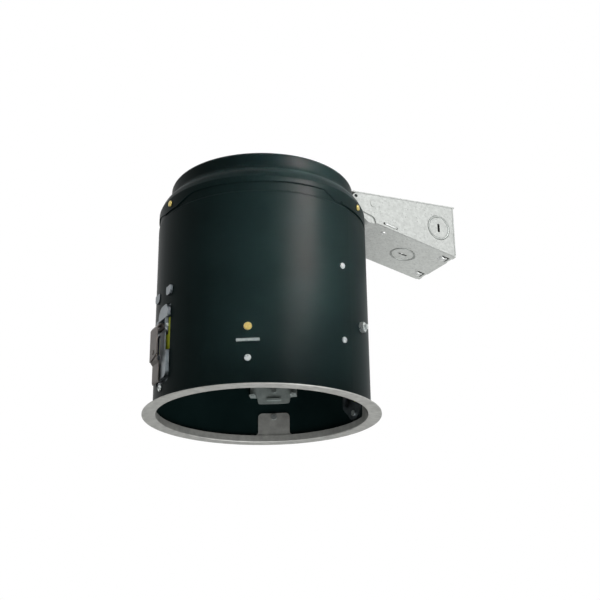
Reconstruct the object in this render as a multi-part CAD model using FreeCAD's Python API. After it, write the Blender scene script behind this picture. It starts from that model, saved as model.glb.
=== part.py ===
import FreeCAD, Part
import math
import os

# Recessed light housing for a finished ceiling: a black steel can with a drawn cap,
# a ceiling ring, two swing-out ceiling clips, two trim spring brackets, a lampholder
# on a sliding plate, and a galvanised junction box on a radial arm.
#
# Frame: millimetres, +Z up, origin at the centre of the trim opening, in the plane of
# the finished ceiling, which is the top face of the ring's flange. The junction box
# points along +X. An azimuth is counted from -Y, through +X at 90 degrees.

# Can and cap
shell_radius = 81.2
shell_sheet = 0.8
lap_step = 0.6
lap_start_azimuth = -27.0
seam_azimuth = 25.4
crease_height = 146.2
crease_run = 1.3
neck_height = 11.8
neck_sheet = 0.8
cap_fit = 0.1
cap_sheet = 0.8
cap_set_in = 9.0
cap_edge_radius = 3.4
crown_height = 12.6
shoulder_rise = 11.8
shoulder_bulge = 2.6
skirt_depth = 4.4
ear_depth = 6.0
ear_clearance = 2.4
narrow_ear_half = 28.5
wide_ear_half = 41.5

# Ceiling ring
ring_sheet = 0.9
ring_fit = 0.6
flange_width = 7.8
collar_height = 4.7
ring_tab_width = 25.7
ring_tab_height = 23.2
ring_tab_corner = 3.5
ring_tab_fit = 0.05
seat_depth = 0.1
seat_fit = 0.4
ring_rivet_drop = 3.2
ring_azimuths = (-33.0, 147.0)
ring_brace_azimuth = 69.6

# Trim spring brackets, inside the can over the ring's tabs
liner_fit = 0.1
liner_sheet = 0.8
trim_bracket_width = 38.5
trim_bracket_height = 19.8
trim_bracket_gap = 8.1
trim_lip_width = 25.7
trim_lip_height = 4.9
trim_ear_length = 12.0
trim_ear_hole_inset = 2.5
trim_ear_hole = 3.0
trim_ear_gap = 1.4
trim_slot_rise = 1.7
trim_slot_width = 16.6
trim_slot_gap = 2.4
trim_hook_height = 1.9
trim_rivet_rise = 6.6

# Ceiling clips, in windows at both ends of the diameter across the box arm
clip_azimuths = (-90.0, 90.0)
window_bottom = 14.2
window_height = 59.0
window_left = -10.5
window_right = 13.3
window_fit = 0.4
carrier_half_width = 14.4
carrier_foot = 7.4
carrier_head = 16.8
carrier_sheet = 0.8
carrier_proud = 1.5
clip_rivet_drop = 2.6
pivot_drop = 16.2
pivot_depth = 0.3
clip_pin_radius = 1.2
pin_fit = 0.05
leaf_sheet = 0.8
leaf_stand_off = 5.4
leaf_left = -9.5
leaf_right = 4.0
leaf_length = 24.5
foot_length = 17.0
foot_set_in = 1.6
leaf_rivet_rise = 6.0
hook_rise = 9.8
hook_spread = 10.8
hook_half_width = 4.2
hook_half_height = 3.4

# Fasteners
rivet_radius = 1.6
hole_fit = 0.05
brass_head_radius = 2.9
steel_head_radius = 2.4
seam_screw_azimuth = 19.3
seam_screw_radius = 1.5
seam_screw_grip = 6.0
seam_screw_head_radius = 2.2
seam_screw_head_height = 1.4
seam_screw_heights = (97.4, 40.4)
side_bolt_azimuth = 37.0
side_bolt_height = 57.0
side_bolt_radius = 2.0

# Junction box
box_sheet = 1.0
box_half_width = 28.8
box_reach = 94.6
box_rise = 12.0
box_end_depth = 46.0
box_top_slope = 0.061
box_floor_slope = -0.197
box_crease_run = 17.8
box_knee_run = 10.3
box_root_gap = 0.3
box_root_rise = 1.6
box_fit = 0.2
cover_gap = 0.3
cover_inset = 1.3
cover_cap_gap = 0.9
arm_half_width = 18.0
arm_lap = 48.2
arm_step_run = 11.2
arm_rivet_spread = 11.0
knockout_radius = 11.1
knockout_groove = 0.45
knockout_slot_length = 8.0
knockout_slot_width = 2.3
side_knockout_inset = 16.1
side_knockout_drop = 0.6
floor_knockout_inset = 34.4
bushing_drop = 6.5
bushing_hole_radius = 3.0
ground_screw_radius = 1.8
ground_screw_y = 12.0
ground_screw_drop = 15.4
lance_inset = 10.1
lance_width = 7.9
tab_run = 7.2
tab_length = 11.0
tab_low = 1.9
tab_high = 3.4
protector_width = 16.0
protector_height = 8.0

# Socket slide
strap_sheet = 1.2
strap_offset = 50.0
strap_half_width = 12.0
strap_length = 75.4
strap_rivet_spread = 7.0
slot_foot = 6.0
slot_head = 13.4
slot_width = 5.4
plate_sheet = 1.2
plate_fit = 0.3
plate_half_width = 11.0
plate_drop = 43.4
clamp_rise = 15.0
clamp_radius = 2.5
holder_radius = 21.0
holder_height = 47.0
holder_screw_radius = 1.8
holder_screw_grip = 8.0
holder_screw_head_radius = 3.2
holder_screw_head_height = 2.0
holder_screw_y = 15.5
lamp_shell_radius = 14.3
lamp_shell_sheet = 0.4
lamp_thread_pitch = 3.63
lamp_thread_depth = 0.7
lamp_shell_start = 3.0
lamp_shell_hole_radius = 6.0
lamp_shell_corner = 0.4
holder_recess = 12.0

# Heights and radii that follow from the sizes above
shell_inner = shell_radius - shell_sheet
skirt_inner = shell_radius - cap_sheet
neck_outer = skirt_inner - cap_fit
neck_inner = neck_outer - neck_sheet
neck_top = crease_height + neck_height
cap_radius = shell_radius - cap_set_in
ear_bottom = crease_height + ear_clearance
skirt_bottom = ear_bottom + ear_depth
shoulder_foot = skirt_bottom + skirt_depth
shoulder_top = shoulder_foot + shoulder_rise
cap_top = shoulder_top + crown_height
cap_inner_top = cap_top - cap_sheet
ear_rivets = ((-84.6, skirt_bottom - 0.3), (37.9, skirt_bottom + 0.1), (157.0, skirt_bottom - 0.3))
flange_radius = shell_radius + flange_width
collar_outer = shell_inner - ring_fit
aperture_radius = collar_outer - ring_sheet
seat_radius = shell_radius + lap_step + seat_fit
ring_tab_outer = shell_inner - ring_tab_fit
ring_tab_inner = ring_tab_outer - ring_sheet
ring_rivet_height = ring_tab_height - ring_rivet_drop
liner_outer = shell_inner - liner_fit
liner_inner = liner_outer - liner_sheet
trim_lip_bottom = ring_tab_height + trim_bracket_gap
trim_bracket_bottom = trim_lip_bottom + trim_lip_height
trim_bracket_top = trim_bracket_bottom + trim_bracket_height
trim_slot_height = trim_lip_bottom + trim_slot_rise
trim_rivet_height = trim_bracket_bottom + trim_rivet_rise
window_top = window_bottom + window_height
carrier_bottom = window_bottom - carrier_foot
carrier_top = window_top + carrier_head
carrier_inner = liner_outer - carrier_sheet
carrier_front = shell_radius + carrier_proud
clip_rivet_height = window_bottom - clip_rivet_drop
pivot_x = shell_radius - pivot_depth
pivot_z = window_top - pivot_drop
leaf_x = shell_radius + leaf_stand_off
leaf_bottom = pivot_z - leaf_length
foot_x = leaf_x - leaf_sheet - 0.02
foot_bottom = leaf_bottom - foot_length
hook_height = window_top + hook_rise
box_end = cap_radius + box_reach
box_top_at_end = cap_top + box_rise
box_floor_at_end = box_top_at_end - box_end_depth
box_crease_x = cap_radius + box_crease_run
box_knee_x = cap_radius + box_knee_run
box_root_x = cap_radius + box_root_gap
box_root_z = shoulder_top + box_root_rise
cover_outer_y = box_half_width
cover_inner_y = box_half_width - box_sheet
floor_half_width = cover_inner_y - box_fit
arm_tip = cap_radius - arm_lap
arm_step = cap_radius - arm_step_run
cover_start = math.sqrt(cap_radius ** 2 - cover_inner_y ** 2) + cover_cap_gap
arm_rivet_places = ((arm_tip + 10.0, -arm_rivet_spread), (arm_tip + 10.0, arm_rivet_spread))
side_knockout_x = box_end - side_knockout_inset
floor_knockout_x = box_end - floor_knockout_inset
bushing_height = cap_top - bushing_drop
ground_screw_z = box_top_at_end - ground_screw_drop
lance_y = box_half_width - lance_inset
tab_start = box_crease_x + tab_run
tab_end = tab_start + tab_length
strap_x = -strap_offset
strap_foot_reach = 24.0
strap_bottom = cap_top - strap_length
strap_rivet_x = strap_x + strap_foot_reach / 2
strap_rivet_places = ((strap_rivet_x, -strap_rivet_spread), (strap_rivet_x, strap_rivet_spread))
slot_low = strap_bottom + slot_foot
slot_high = cap_top - slot_head
plate_z = cap_top - plate_drop
clamp_z = plate_z + clamp_rise
holder_top = plate_z - plate_sheet
holder_mouth = holder_top - holder_height

X = FreeCAD.Vector(1, 0, 0)
Y = FreeCAD.Vector(0, 1, 0)
Z = FreeCAD.Vector(0, 0, 1)
ORIGIN = FreeCAD.Vector(0, 0, 0)

nodes = {}


def keep(name, *solids):
    """Store one sub-part: a solid, or a group of separate solids."""
    nodes[name] = solids[0] if len(solids) == 1 else Part.makeCompound(list(solids))


def join(first, *others):
    """Fuse shapes into one and tidy the seams away."""
    return first.fuse(list(others)).removeSplitter()


def trim(shape, *cutters):
    """Cut shapes away from another."""
    return shape.cut(list(cutters))


def at_azimuth(shape, azimuth):
    """Turn a shape built towards +X to an azimuth counted from -Y."""
    turned = shape.copy()
    turned.rotate(ORIGIN, Z, azimuth - 90.0)
    return turned


def mirrored_y(shape):
    """The same shape on the other side of the XZ plane."""
    return shape.mirror(ORIGIN, Y)


def block(x0, x1, y0, y1, z0, z1):
    """A box between two corners."""
    return Part.makeBox(x1 - x0, y1 - y0, z1 - z0, FreeCAD.Vector(x0, y0, z0))


def rod(radius, start, direction, length):
    """A cylinder from a point along a direction."""
    return Part.makeCylinder(radius, length, FreeCAD.Vector(*start), direction)


def ring(inner, outer, low, high):
    """A tube about the Z axis."""
    return rod(outer, (0, 0, low), Z, high - low).cut(rod(inner, (0, 0, low - 1), Z, high - low + 2))


def rounded_wire(points, radii, place):
    """A closed outline through 2D points, each corner rounded by its radius."""
    count = len(points)
    corners = []
    for i in range(count):
        here = FreeCAD.Vector(points[i][0], points[i][1], 0)
        before = FreeCAD.Vector(points[i - 1][0], points[i - 1][1], 0)
        after = FreeCAD.Vector(points[(i + 1) % count][0], points[(i + 1) % count][1], 0)
        arriving = (before - here).normalize()
        leaving = (after - here).normalize()
        half = math.acos(max(-1.0, min(1.0, arriving.dot(leaving)))) / 2.0
        if radii[i] <= 0 or half > math.radians(89.5):
            corners.append((here, here, here))
            continue
        reach = radii[i] / math.tan(half)
        bisector = (arriving + leaving).normalize()
        middle = here + bisector * (radii[i] / math.sin(half) - radii[i])
        corners.append((here + arriving * reach, middle, here + leaving * reach))
    edges = []
    for i in range(count):
        start, middle, end = corners[i]
        following = corners[(i + 1) % count][0]
        if (end - start).Length > 1e-6:
            edges.append(Part.Arc(place(start), place(middle), place(end)).toShape())
        if (following - end).Length > 1e-6:
            edges.append(Part.makeLine(place(end), place(following)))
    return Part.Wire(edges)


def radial_plate(points, radii, x0, x1):
    """A plate facing +X, from an outline of (y, z) points."""
    wire = rounded_wire(points, radii, lambda p: FreeCAD.Vector(x0, p.x, p.y))
    return Part.Face(wire).extrude(X * (x1 - x0))


def side_plate(points, radii, y0, y1):
    """A plate facing Y, from an outline of (x, z) points."""
    wire = rounded_wire(points, radii, lambda p: FreeCAD.Vector(p.x, y0, p.y))
    return Part.Face(wire).extrude(Y * (y1 - y0))


def level_plate(points, radii, z0, z1):
    """A plate facing Z, from an outline of (x, y) points."""
    wire = rounded_wire(points, radii, lambda p: FreeCAD.Vector(p.x, p.y, z0))
    return Part.Face(wire).extrude(Z * (z1 - z0))


def turned(points, radii):
    """A body of revolution about Z, from a closed outline of (r, z) points."""
    wire = rounded_wire(points, radii, lambda p: FreeCAD.Vector(p.x, 0, p.y))
    return Part.Face(wire).revolve(ORIGIN, Z, 360)


def curved_plate(points, radii, inner, outer):
    """A plate rolled to the can's radius, from an outline of (y, z) points."""
    low = min(p[1] for p in points) - 1
    high = max(p[1] for p in points) + 1
    return radial_plate(points, radii, inner / 2, outer * 2).common(ring(inner, outer, low, high))


def rectangle(y0, y1, z0, z1):
    """The four corners of a rectangle."""
    return [(y0, z0), (y1, z0), (y1, z1), (y0, z1)]


def strip_outline(path, sheet, bend):
    """The section of a folded sheet: its outer face's path, its thickness and its inner bend radius."""
    offset = []
    for i in range(len(path)):
        here = FreeCAD.Vector(path[i][0], path[i][1], 0)
        normals = []
        for j in (i - 1, i):
            if 0 <= j < len(path) - 1:
                step = FreeCAD.Vector(path[j + 1][0] - path[j][0], path[j + 1][1] - path[j][1], 0).normalize()
                normals.append(FreeCAD.Vector(-step.y, step.x, 0))
        mean = normals[0] if len(normals) == 1 else (normals[0] + normals[1]).normalize()
        offset.append(here + mean * (sheet / mean.dot(normals[0])))
    points = [tuple(p) for p in path] + [(p.x, p.y) for p in reversed(offset)]
    outer_radii = [0.0] * len(path)
    inner_radii = [0.0] * len(path)
    for i in range(1, len(path) - 1):
        first = FreeCAD.Vector(path[i][0] - path[i - 1][0], path[i][1] - path[i - 1][1], 0)
        second = FreeCAD.Vector(path[i + 1][0] - path[i][0], path[i + 1][1] - path[i][1], 0)
        turns_to_offset = first.x * second.y - first.y * second.x > 0
        outer_radii[i] = bend + sheet if turns_to_offset else bend
        inner_radii[i] = bend if turns_to_offset else bend + sheet
    return points, outer_radii + inner_radii[::-1]


def rivet(seat, grip, head_radius, head_height, shank_radius=rivet_radius):
    """A rivet along X: its head stands on x = seat and its tail closes grip below it."""
    head = rod(head_radius, (seat, 0, 0), X, head_height)
    head = head.makeFillet(head_height * 0.7, [head.Edges[0]])
    tail_radius = shank_radius * 1.45
    tail = rod(tail_radius, (seat - grip - 0.9, 0, 0), X, 0.9)
    return join(head, rod(shank_radius, (seat - grip - 0.9, 0, 0), X, grip + 0.9), tail)


def drill(shape, azimuth, height, radius, far=110.0):
    """Drill one hole through the can's wall at an azimuth and height."""
    return trim(shape, at_azimuth(rod(radius, (shell_radius * 0.6, 0, height), X, far), azimuth))


def place_on_wall(piece, azimuth, height):
    """Put a piece built along X at an azimuth and height."""
    lifted = piece.copy()
    lifted.translate(Z * height)
    return at_azimuth(lifted, azimuth)


def on_circle(radius, azimuth, height):
    """A point at a radius, azimuth and height."""
    angle = math.radians(azimuth)
    return FreeCAD.Vector(radius * math.sin(angle), -radius * math.cos(angle), height)


# Ceiling ring: a flange with a shallow seat for the can's foot and a collar, pressed from
# one sheet, with tall tabs that step out to lie against the can's wall
def ceiling_ring():
    section = [
        (aperture_radius, collar_height),
        (aperture_radius, -ring_sheet),
        (flange_radius, -ring_sheet),
        (flange_radius, 0.0),
        (seat_radius, 0.0),
        (seat_radius, -seat_depth),
        (collar_outer, -seat_depth),
        (collar_outer, collar_height),
    ]
    body = turned(section, [0.0, ring_sheet - 0.1, 0.0, 0.3, 0.0, 0.0, 0.0, 0.0])
    half = ring_tab_width / 2
    foot = half + ring_tab_corner
    step_low = collar_height - ring_sheet
    outline = [
        (-foot, step_low),
        (foot, step_low),
        (foot, collar_height),
        (half, collar_height),
        (half, ring_tab_height),
        (-half, ring_tab_height),
        (-half, collar_height),
        (-foot, collar_height),
    ]
    corners = [0.0, 0.0, 0.0, ring_tab_corner - 0.5, ring_tab_corner, ring_tab_corner, ring_tab_corner - 0.5, 0.0]
    tab = curved_plate(outline, corners, ring_tab_inner, ring_tab_outer)
    step = curved_plate(rectangle(-foot, foot, step_low, collar_height), [0.0] * 4, aperture_radius, ring_tab_outer)
    body = join(body, at_azimuth(tab, ring_brace_azimuth), at_azimuth(step, ring_brace_azimuth))
    for azimuth in ring_azimuths:
        body = join(body, at_azimuth(tab, azimuth), at_azimuth(step, azimuth))
        body = drill(body, azimuth, ring_rivet_height, rivet_radius + hole_fit)
    return body


keep("ceiling_ring", ceiling_ring())
ring_rivet = rivet(shell_radius, shell_radius - ring_tab_inner + 0.05, steel_head_radius, 1.0)
keep("ring_rivets", *[place_on_wall(ring_rivet, azimuth, ring_rivet_height) for azimuth in ring_azimuths])


# Can: one sheet rolled up and lapped over itself at the seam, necked in above a crease
def lapped_tube():
    lap_middle = (lap_start_azimuth + seam_azimuth) / 2
    foot = -seat_depth
    step_in = on_circle(shell_radius, seam_azimuth, foot)
    step_out = on_circle(shell_radius + lap_step, seam_azimuth, foot)
    rise = on_circle(shell_radius + lap_step / 2, lap_middle, foot)
    start = on_circle(shell_radius, lap_start_azimuth, foot)
    round_back = on_circle(shell_radius, lap_middle + 180.0, foot)
    outer = Part.Wire([
        Part.Arc(start, rise, step_out).toShape(),
        Part.makeLine(step_out, step_in),
        Part.Arc(step_in, round_back, start).toShape(),
    ])
    height = crease_height + seat_depth
    return Part.Face(outer).extrude(Z * height).cut(rod(shell_inner, (0, 0, -1), Z, crease_height + 2))


def outer_shell():
    neck = turned([
        (shell_inner, crease_height - 0.6),
        (shell_radius, crease_height - 0.6),
        (shell_radius, crease_height),
        (neck_outer, crease_height + crease_run),
        (neck_outer, neck_top),
        (neck_inner, neck_top),
        (neck_inner, crease_height + crease_run),
        (shell_inner, crease_height),
    ], [0.0] * 8)
    body = join(lapped_tube(), neck)
    window = radial_plate([
        (window_left, window_bottom),
        (window_right, window_bottom),
        (window_right, window_top),
        (window_left + 11.1, window_top),
        (window_left + 5.0, window_top - 6.2),
        (window_left + 2.3, window_top - 8.9),
        (window_left, window_top - 8.9),
    ], [4.0, 4.5, 1.5, 2.0, 1.0, 0.5, 1.0], shell_radius / 2, shell_radius * 2)
    slot = radial_plate(
        rectangle(-trim_slot_width / 2, trim_slot_width / 2,
                  trim_slot_height - trim_slot_gap / 2, trim_slot_height + trim_slot_gap / 2),
        [0.6] * 4, shell_radius / 2, shell_radius * 2)
    for azimuth in clip_azimuths:
        body = trim(body, at_azimuth(window, azimuth))
        body = drill(body, azimuth, clip_rivet_height, rivet_radius + hole_fit)
        for side in (-1, 1):
            body = trim(body, at_azimuth(hook_hole(side), azimuth))
    for azimuth in ring_azimuths:
        body = trim(body, at_azimuth(slot, azimuth))
        body = drill(body, azimuth, ring_rivet_height, rivet_radius + hole_fit)
        body = drill(body, azimuth, trim_rivet_height, rivet_radius + hole_fit)
    for height in seam_screw_heights:
        body = drill(body, seam_screw_azimuth, height, seam_screw_radius + hole_fit)
    body = drill(body, side_bolt_azimuth, side_bolt_height, side_bolt_radius + hole_fit)
    for azimuth, height in ear_rivets:
        body = drill(body, azimuth, height, rivet_radius + hole_fit)
    return body


# Each clip carrier hooks into the can with two half-round tabs above its window
def hook_outline(side, margin):
    middle = side * hook_spread
    half_width = hook_half_width + margin
    half_height = hook_half_height + margin
    return rectangle(middle - half_width, middle + half_width, hook_height - half_height, hook_height + half_height)


def hook_hole(side):
    return radial_plate(hook_outline(side, 0.25), [3.2, 3.2, 1.0, 1.0], shell_radius / 2, shell_radius * 2)


keep("outer_shell", outer_shell())


# Cap: drawn from one sheet, with a rounded shoulder and a skirt that ends in three ears
def top_cap():
    path = [
        (shell_radius, skirt_bottom),
        (shell_radius, shoulder_foot),
        (shell_radius - shoulder_bulge, (shoulder_foot + shoulder_top) / 2),
        (cap_radius, shoulder_top),
        (cap_radius, cap_top),
        (0.0, cap_top),
    ]
    outline = strip_outline(path, cap_sheet, 0.5)[0]
    foot_bend, bulge_bend, root_bend = 2.6, 12.0, 5.0
    outside = [0.0, foot_bend, bulge_bend, root_bend, cap_edge_radius, 0.0]
    inside = [0.0, cap_edge_radius - cap_sheet, root_bend + cap_sheet, bulge_bend - cap_sheet, foot_bend - cap_sheet, 0.0]
    body = turned(outline, outside + inside)
    root = skirt_bottom + 2.1
    half = narrow_ear_half
    narrow = [
        (-half, root), (-half, skirt_bottom), (3.5 - half, skirt_bottom - 0.6), (18.0 - half, ear_bottom + 0.8),
        (half - 19.5, ear_bottom + 0.2), (half - 3.0, skirt_bottom - 0.3), (half, skirt_bottom), (half, root),
    ]
    half = wide_ear_half
    wide = [
        (-half, root), (-half, skirt_bottom), (1.7 - half, skirt_bottom), (10.9 - half, ear_bottom),
        (half - 10.9, ear_bottom), (half - 1.7, skirt_bottom), (half, skirt_bottom), (half, root),
    ]
    for number, (azimuth, height) in enumerate(ear_rivets):
        outline, rounding = (wide, 1.0) if number == 1 else (narrow, 5.0)
        corners = [0.0, 0.0, rounding, rounding, rounding, rounding, 0.0, 0.0]
        ear = curved_plate(outline, corners, skirt_inner, skirt_inner + cap_sheet)
        body = join(body, at_azimuth(ear, azimuth))
        body = drill(body, azimuth, height, rivet_radius + hole_fit)
    notch = block(shell_radius / 2, shell_radius * 2, 17.5 - half, 18.7 - half, ear_bottom - 1.0, ear_bottom + 2.2)
    body = trim(body, at_azimuth(notch, ear_rivets[1][0]))
    body = trim(body, rod(bushing_hole_radius + hole_fit, (cap_radius * 0.6, 0, bushing_height), X, cap_radius))
    for x, y in arm_rivet_places:
        body = trim(body, rod(rivet_radius + hole_fit, (x, y, cap_top - 10), Z, 20))
    for x, y in strap_rivet_places:
        body = trim(body, rod(rivet_radius + hole_fit, (x, y, cap_top - 10), Z, 20))
    return body


keep("top_cap", top_cap())
ear_rivet = rivet(shell_radius, shell_radius - neck_inner + 0.05, steel_head_radius, 1.1)
keep("ear_rivets", *[place_on_wall(ear_rivet, azimuth, height) for azimuth, height in ear_rivets])


# Seam screws hold the lap, and one bolt and nut takes the earth bond
def pan_screw(seat, grip, head_radius, head_height, radius):
    head = rod(head_radius, (seat, 0, 0), X, head_height)
    head = head.makeFillet(head_height * 0.6, [head.Edges[0]])
    slot = block(seat + head_height * 0.55, seat + head_height + 1, -head_radius, head_radius, -0.3, 0.3)
    return join(trim(head, slot), rod(radius, (seat - grip, 0, 0), X, grip))


seam_screw = pan_screw(shell_radius + lap_step, seam_screw_grip, seam_screw_head_radius, seam_screw_head_height,
                       seam_screw_radius)
keep("seam_screws", *[place_on_wall(seam_screw, seam_screw_azimuth, height) for height in seam_screw_heights])


def hexagon(across, x0, x1):
    """A hexagonal prism along X."""
    reach = across / math.sqrt(3)
    corners = [(reach * math.cos(math.radians(60 * i)), reach * math.sin(math.radians(60 * i))) for i in range(6)]
    return radial_plate(corners, [0.0] * 6, x0, x1)


bolt_head = rod(3.6, (shell_inner - 0.3 - 2.0, 0, 0), X, 2.0)
side_bolt = join(bolt_head, rod(side_bolt_radius, (shell_inner - 1.0, 0, 0), X, 7.0))
side_nut = trim(hexagon(7.0, shell_radius + 0.02, shell_radius + 3.2),
                rod(side_bolt_radius + hole_fit, (shell_radius - 1, 0, 0), X, 6))
keep("side_bolt", place_on_wall(side_bolt, side_bolt_azimuth, side_bolt_height))
keep("side_nut", place_on_wall(side_nut, side_bolt_azimuth, side_bolt_height))


# Trim spring bracket: a rolled plate with a lower lip, two inward ears and a hook tab
def trim_bracket():
    half = trim_bracket_width / 2
    lip = trim_lip_width / 2
    outline = [
        (-half, trim_bracket_bottom),
        (-lip - 0.8, trim_bracket_bottom),
        (-lip, trim_lip_bottom),
        (lip, trim_lip_bottom),
        (lip + 0.8, trim_bracket_bottom),
        (half, trim_bracket_bottom),
        (half, trim_bracket_top),
        (-half, trim_bracket_top),
    ]
    body = curved_plate(outline, [1.0, 0.6, 1.5, 1.5, 0.6, 1.0, 2.5, 2.5], liner_inner, liner_outer)
    for side in (-1, 1):
        inner_edge = side * (lip + trim_ear_gap)
        outer_edge = side * half
        reach = liner_inner - trim_ear_length
        ear = level_plate([(reach, inner_edge), (reach, outer_edge), (liner_inner + 0.3, outer_edge),
                           (liner_inner + 0.3, inner_edge)], [2.2, 2.2, 0.0, 0.0],
                          trim_bracket_bottom, trim_bracket_bottom + liner_sheet)
        ear = ear.common(rod(liner_outer, (0, 0, 0), Z, trim_bracket_top))
        hole = rod(trim_ear_hole / 2, (reach + trim_ear_hole_inset, (inner_edge + outer_edge) / 2, 0), Z, 100)
        body = join(body, trim(ear, hole))
    tab_half = trim_slot_width / 2 - 0.3
    hook_half = trim_hook_height / 2
    hook = block(liner_inner, shell_radius + 0.5, -tab_half, tab_half,
                 trim_slot_height - hook_half, trim_slot_height + hook_half)
    rib = radial_plate(rectangle(-6.0, 6.0, trim_slot_height + hook_half, trim_slot_height + hook_half + 1.8), [0.8] * 4,
                       liner_inner - 1.3, liner_inner + 0.3)
    body = join(body, hook, rib)
    return trim(body, rod(rivet_radius + hole_fit, (shell_radius / 2, 0, trim_rivet_height), X, shell_radius))


bracket = trim_bracket()
trim_rivet = rivet(shell_radius, shell_radius - liner_inner + 0.05, brass_head_radius, 1.3)
for name, azimuth in zip(("front", "rear"), ring_azimuths):
    keep("trim_bracket_" + name, at_azimuth(bracket, azimuth))
keep("trim_rivets", *[place_on_wall(trim_rivet, azimuth, trim_rivet_height) for azimuth in ring_azimuths])


# Ceiling clip carrier: a rolled plate behind the window with a hollow pressed front
def pressed_front(y0, y1, z0, z1, rounding):
    outer = radial_plate(rectangle(y0, y1, z0, z1), rounding, carrier_inner, carrier_front)
    inner_rounding = [max(r - carrier_sheet, 0.0) for r in rounding]
    inner = radial_plate(
        rectangle(y0 + carrier_sheet, y1 - carrier_sheet, z0 + carrier_sheet, z1 - carrier_sheet),
        inner_rounding, carrier_inner - 5, carrier_front - carrier_sheet)
    return outer, inner


def clip_carrier():
    half = carrier_half_width
    outline = [
        (-4.0, carrier_bottom), (4.0, carrier_bottom), (half, carrier_bottom + 10.8),
        (half, carrier_top), (-half, carrier_top), (-half, carrier_bottom + 10.8),
    ]
    plate = curved_plate(outline, [2.0, 2.0, 2.0, 4.0, 4.0, 2.0], carrier_inner, liner_outer)
    left = window_left + window_fit
    right = window_right - window_fit
    eye_low = pivot_z - 5.6
    eye_high = pivot_z + 6.6
    pad_low = window_bottom + 3.0
    pad_high = window_bottom + 23.2
    dome, dome_hollow = pressed_front(left + 6.1, right, eye_high - 0.4, window_top - 0.8, [0.8, 0.8, 4.0, 8.0])
    hinge, hinge_hollow = pressed_front(*hinge_span, eye_low, eye_high, [0.8] * 4)
    lower, lower_hollow = pressed_front(left, right, pad_low, pad_high, [4.0, 4.0, 0.8, 0.8])
    front = carrier_front
    back = front - carrier_sheet
    rails = [block(back, front, right - 11.7, right - 3.1, pad_high - 1.4, eye_low + 0.6),
             block(back, front, left, left + 4.0, pad_high - 1.4, eye_low + 0.6)]
    bars = [block(back, front, hinge_span[1] - 0.8, right, eye_low, eye_low + 1.5),
            block(back, front, hinge_span[1] - 0.8, right, eye_high - 1.4, eye_high)]
    body = join(plate, dome, hinge, lower)
    body = trim(body, dome_hollow, hinge_hollow, lower_hollow)
    body = join(body, *rails, *bars)
    opening = block(carrier_inner - 5, front + 1, left + 5.9, hinge_span[1] - 0.8, eye_low + 1.5, eye_high - 1.4)
    leaf_slot = block(liner_outer + 0.02, front + 1, left + 4.3, right - 11.7, window_bottom + 6.1, eye_low)
    access = block(carrier_inner - 5, liner_outer + 0.2, left + 2.9, hinge_span[1] - 0.8, eye_low + 0.8, eye_high - 0.8)
    body = trim(body, opening, leaf_slot, access)
    body = trim(body, rod(clip_pin_radius + hole_fit, (pivot_x, window_left * 2, pivot_z), Y, window_right * 4))
    for side in (-1, 1):
        tab = radial_plate(hook_outline(side, 0.0), [3.0, 3.0, 0.8, 0.8], liner_inner, shell_radius + 0.4)
        body = join(body, tab)
    return trim(body, rod(rivet_radius + hole_fit, (shell_radius / 2, 0, clip_rivet_height), X, shell_radius))


# Lime plastic shield that closes the window behind the carrier's front
def clip_shield():
    inner = liner_outer + 0.1
    outer = inner + 0.5
    right = window_right - window_fit
    low = window_bottom + 24.0
    high = pivot_z - 7.5
    level = curved_plate(rectangle(window_left + 5.0, right, low, high), [0.5] * 4, inner, outer)
    upright = curved_plate(rectangle(right - 2.6, right, low, pivot_z + 5.0), [0.5] * 4, inner, outer)
    lower = curved_plate(rectangle(window_left + 7.3, right - 12.0, window_bottom + 6.8, high), [0.5] * 4, inner, outer)
    return join(level, upright, lower)


hinge_span = (window_left + window_fit + 2.1, window_right - window_fit - 3.1)
leaf_rivet_radius = rivet_radius * 0.7
leaf_rivet_y = leaf_left + 6.5


def leaf_rivet_hole():
    return rod(leaf_rivet_radius + hole_fit, (leaf_x - 5, leaf_rivet_y, leaf_bottom + leaf_rivet_rise), X, 10)


# Spring leaf: curls round the pin, steps out through the carrier and hangs outside the can
def clip_leaf():
    curl_outer = clip_pin_radius + pin_fit + 0.9
    curl_left = hinge_span[0] + 4.4
    curl = rod(curl_outer, (pivot_x, curl_left, pivot_z), Y, hinge_span[1] - 3.8 - curl_left)
    path = [
        (leaf_x, leaf_bottom),
        (leaf_x, pivot_z - 0.6),
        (leaf_x - 1.6, pivot_z + curl_outer),
        (pivot_x, pivot_z + curl_outer),
    ]
    outline, radii = strip_outline(path, leaf_sheet, 0.5)
    plate = side_plate(outline, radii, leaf_left, leaf_right)
    shoulder = block(shell_radius / 2, leaf_x - 1.2, leaf_left - 1, curl_left, pivot_z - 8, pivot_z + 8)
    corner = radial_plate([(leaf_left - 1, leaf_bottom - 1), (leaf_right + 1, leaf_bottom - 1),
                           (leaf_right + 1, leaf_bottom + 4.0)], [0.0] * 3, leaf_x - 5, leaf_x + 5)
    body = trim(plate, shoulder, corner)
    body = join(body, curl)
    bore = rod(clip_pin_radius + pin_fit, (pivot_x, window_left * 2, pivot_z), Y, window_right * 4)
    return trim(body, bore, leaf_rivet_hole())


def clip_foot():
    low_x = foot_x - foot_set_in
    path = [
        (low_x - 0.6, foot_bottom),
        (low_x, foot_bottom + 1.6),
        (low_x, leaf_bottom - 2.6),
        (foot_x, leaf_bottom - 0.4),
        (foot_x, leaf_bottom + leaf_rivet_rise + 4.0),
    ]
    outline, radii = strip_outline(path, leaf_sheet, 0.5)
    plate = side_plate(outline, radii, leaf_left, leaf_right - 1.7)
    return trim(plate, leaf_rivet_hole())


def leaf_rivet():
    small = rivet(leaf_x, leaf_x - foot_x + leaf_sheet + 0.02, 1.9, 0.6, leaf_rivet_radius)
    small.translate(FreeCAD.Vector(0, leaf_rivet_y, leaf_bottom + leaf_rivet_rise))
    return small


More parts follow.
